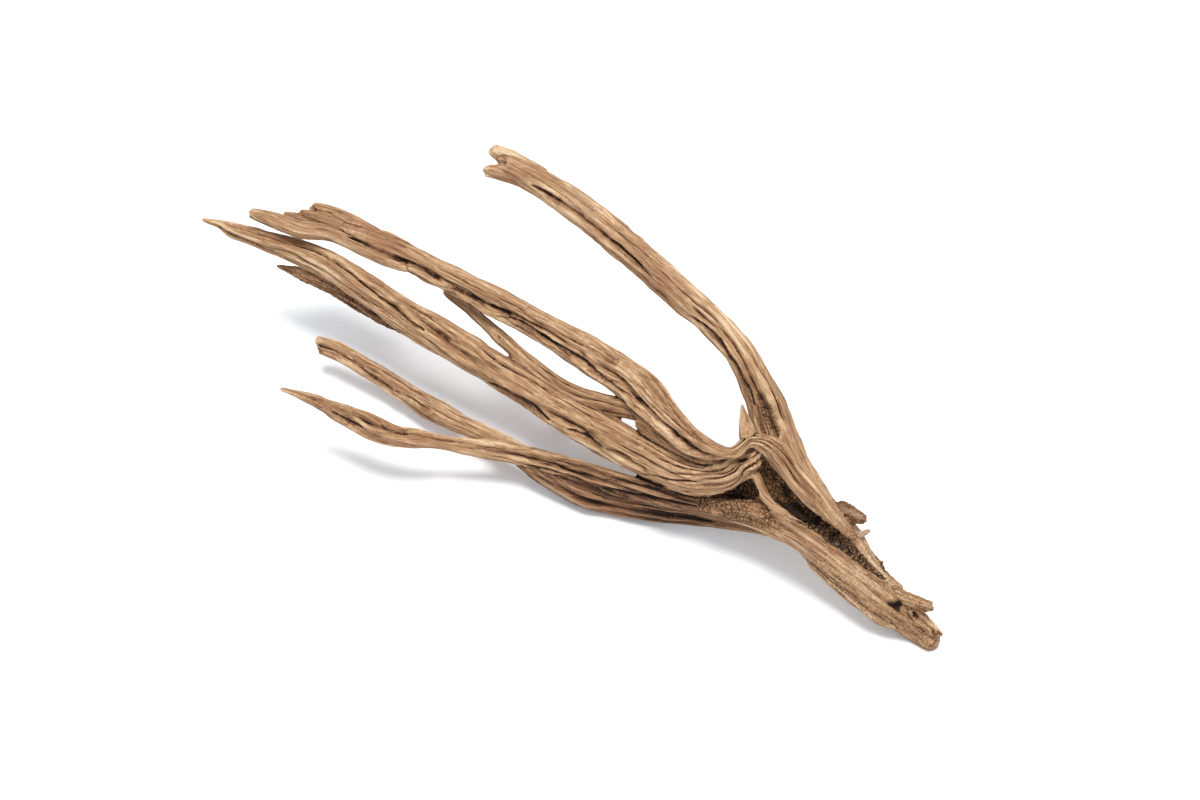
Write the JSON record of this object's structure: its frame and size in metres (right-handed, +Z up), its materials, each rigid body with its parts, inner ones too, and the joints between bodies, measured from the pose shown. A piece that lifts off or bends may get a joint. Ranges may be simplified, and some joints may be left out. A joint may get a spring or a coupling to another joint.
{
  "type": "driftwood branch",
  "caption": "Weathered driftwood: a short gnarled stem splitting into long, slender, fluted boughs that fan out and end in broken forks, for vivariums, aquariums and displays.",
  "frame": {"origin": "on the floor, under the middle of the bounding box", "axes": "+X along the piece from the bough tips to the broken butt, +Z up, +Y to the side the tall bough leans to"},
  "size_m": [0.5058, 0.1632, 0.1381],
  "materials": {
    "wood": "dry, bare, weathered grain with dark grooves"
  },
  "bodies": {
    "root": {"driftwood": "wood"}
  },
  "joints": []
}
